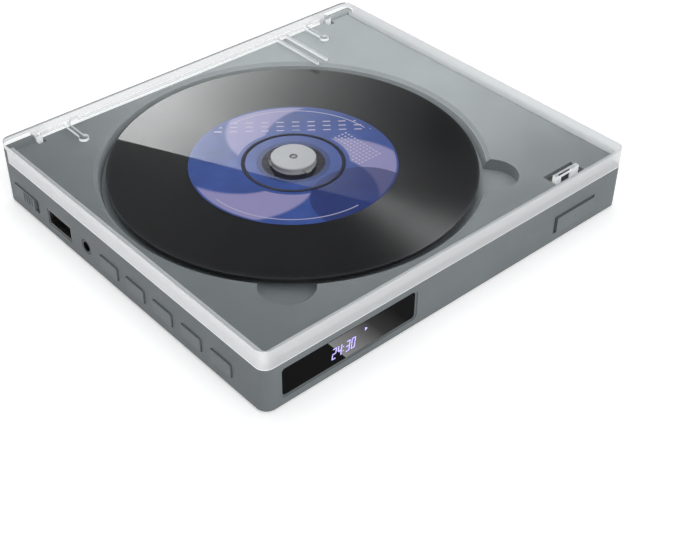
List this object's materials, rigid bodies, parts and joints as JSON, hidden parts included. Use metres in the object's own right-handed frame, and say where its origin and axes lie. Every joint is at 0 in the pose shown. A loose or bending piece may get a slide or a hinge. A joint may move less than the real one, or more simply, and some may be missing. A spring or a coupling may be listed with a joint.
{
  "type": "wall mounted disc player",
  "caption": "Flat grey disc player with a clear hinged lid, front display and open button, side controls and sockets, and keyholes for a wall.",
  "frame": {"origin": "middle of the case in plan, on the plane that the rubber feet rest on", "axes": "+Z is the disc side and -Z the wall side; -Y is the display side, +Y the hinge side, -X the side with the sockets"},
  "size_m": [0.1517, 0.1372, 0.0228],
  "materials": {
    "grey_plastic": "fine matte texture",
    "base_plastic": "fine matte texture",
    "clear_lid": "clear polished plastic",
    "disc_face": "glossy dark disc with a blue label ring",
    "hub_plastic": "satin",
    "pale_plastic": "satin",
    "dark_plastic": "satin",
    "window_black": "polished dark tint",
    "rubber": "matt",
    "bright_steel": "bright",
    "black_steel": "black coated",
    "socket_steel": "plated sheet",
    "circuit_green": "solder mask",
    "lens_glass": "coated",
    "battery_wrap": "film wrap",
    "lead_jacket": "satin",
    "ribbon_film": "film"
  },
  "bodies": {
    "case": {"top_shell": "grey_plastic", "bottom_cover": "base_plastic", "rubber_feet": "rubber", "case_screws": "black_steel", "hinge_pins": "bright_steel", "catch_screws": "bright_steel", "catch_spring": "bright_steel", "lid_switch": "dark_plastic", "slide_switch": "bright_steel", "button_switches": "dark_plastic", "usb_shell": "socket_steel", "usb_tongue": "dark_plastic", "headphone_jack": "dark_plastic", "display_window": "window_black", "display_module": "dark_plastic", "display_board": "circuit_green", "remote_receiver": "dark_plastic", "main_board": "circuit_green", "board_screws": "bright_steel", "control_chips": "dark_plastic", "drive_frame": "dark_plastic", "damper_grommets": "rubber", "drive_screws": "bright_steel", "spindle_motor": "socket_steel", "feed_motor": "socket_steel", "gear_axle": "bright_steel", "guide_rods": "bright_steel", "battery_pack": "battery_wrap", "battery_leads": "lead_jacket", "charge_board": "circuit_green", "charge_socket": "socket_steel", "ribbon_cable": "ribbon_film"},
    "cover_lid": {"lid": "clear_lid"},
    "open_latch": {"open_button": "grey_plastic", "catch_slide": "pale_plastic"},
    "power_slide": {"power_slider": "grey_plastic"},
    "spindle": {"spindle_hub": "hub_plastic", "spindle_shaft": "bright_steel", "clamp_jaws": "pale_plastic", "disc": "disc_face"},
    "pickup": {"pickup_sled": "dark_plastic", "sled_rack": "pale_plastic"},
    "lens": {"lens_holder": "dark_plastic", "objective_lens": "lens_glass"},
    "pinion": {"feed_shaft": "bright_steel", "feed_pinion": "pale_plastic"},
    "gear": {"feed_gear": "pale_plastic"},
    "button_1": {"side_button_1": "grey_plastic"},
    "button_2": {"side_button_2": "grey_plastic"},
    "button_3": {"side_button_3": "grey_plastic"},
    "button_4": {"side_button_4": "grey_plastic"},
    "button_5": {"side_button_5": "grey_plastic"}
  },
  "joints": [
    {"name": "lid_hinge", "type": "hinge", "parent": "case", "child": "cover_lid", "pos_m": [0, 0.06615, 0.0188], "axis": [-1, 0, 0], "range_deg": [0, 90]},
    {"name": "open_press", "type": "slide", "parent": "case", "child": "open_latch", "axis": [0, 1, 0], "range_m": [0, 0.001], "stiffness_N_per_m": 700, "deforming": ["catch_spring"]},
    {"name": "power_slide_move", "type": "slide", "parent": "case", "child": "power_slide", "axis": [0, -1, 0], "range_m": [0, 0.002]},
    {"name": "spindle_spin", "type": "hinge", "parent": "case", "child": "spindle", "pos_m": [-0.0074, 0.0008, 0.01], "axis": [0, 0, 1], "continuous": true},
    {"name": "pickup_travel", "type": "slide", "parent": "case", "child": "pickup", "axis": [1, 0, 0], "range_m": [0, 0.033]},
    {"name": "lens_focus", "type": "slide", "parent": "pickup", "child": "lens", "axis": [0, 0, 1], "range_m": [-0.0004, 0.0004], "stiffness_N_per_m": 300},
    {"name": "gear_turn", "type": "hinge", "parent": "case", "child": "gear", "pos_m": [0.03, 0.0274, 0.012], "axis": [0, 0, 1], "range_deg": [-2, 452]},
    {"name": "pinion_turn", "type": "hinge", "parent": "case", "child": "pinion", "pos_m": [0.0381, 0.03705, 0.012], "axis": [0, 0, 1], "range_deg": [-1130, 5]},
    {"name": "button_1_press", "type": "slide", "parent": "case", "child": "button_1", "axis": [1, 0, 0], "range_m": [0, 0.0005], "stiffness_N_per_m": 900},
    {"name": "button_2_press", "type": "slide", "parent": "case", "child": "button_2", "axis": [1, 0, 0], "range_m": [0, 0.0005], "stiffness_N_per_m": 900},
    {"name": "button_3_press", "type": "slide", "parent": "case", "child": "button_3", "axis": [1, 0, 0], "range_m": [0, 0.0005], "stiffness_N_per_m": 900},
    {"name": "button_4_press", "type": "slide", "parent": "case", "child": "button_4", "axis": [1, 0, 0], "range_m": [0, 0.0005], "stiffness_N_per_m": 900},
    {"name": "button_5_press", "type": "slide", "parent": "case", "child": "button_5", "axis": [1, 0, 0], "range_m": [0, 0.0005], "stiffness_N_per_m": 900}
  ],
  "couplings": [
    {"joint": "gear_turn", "follows": "pickup_travel", "rad_per_m": 238.1},
    {"joint": "pinion_turn", "follows": "pickup_travel", "rad_per_m": -595.24}
  ]
}
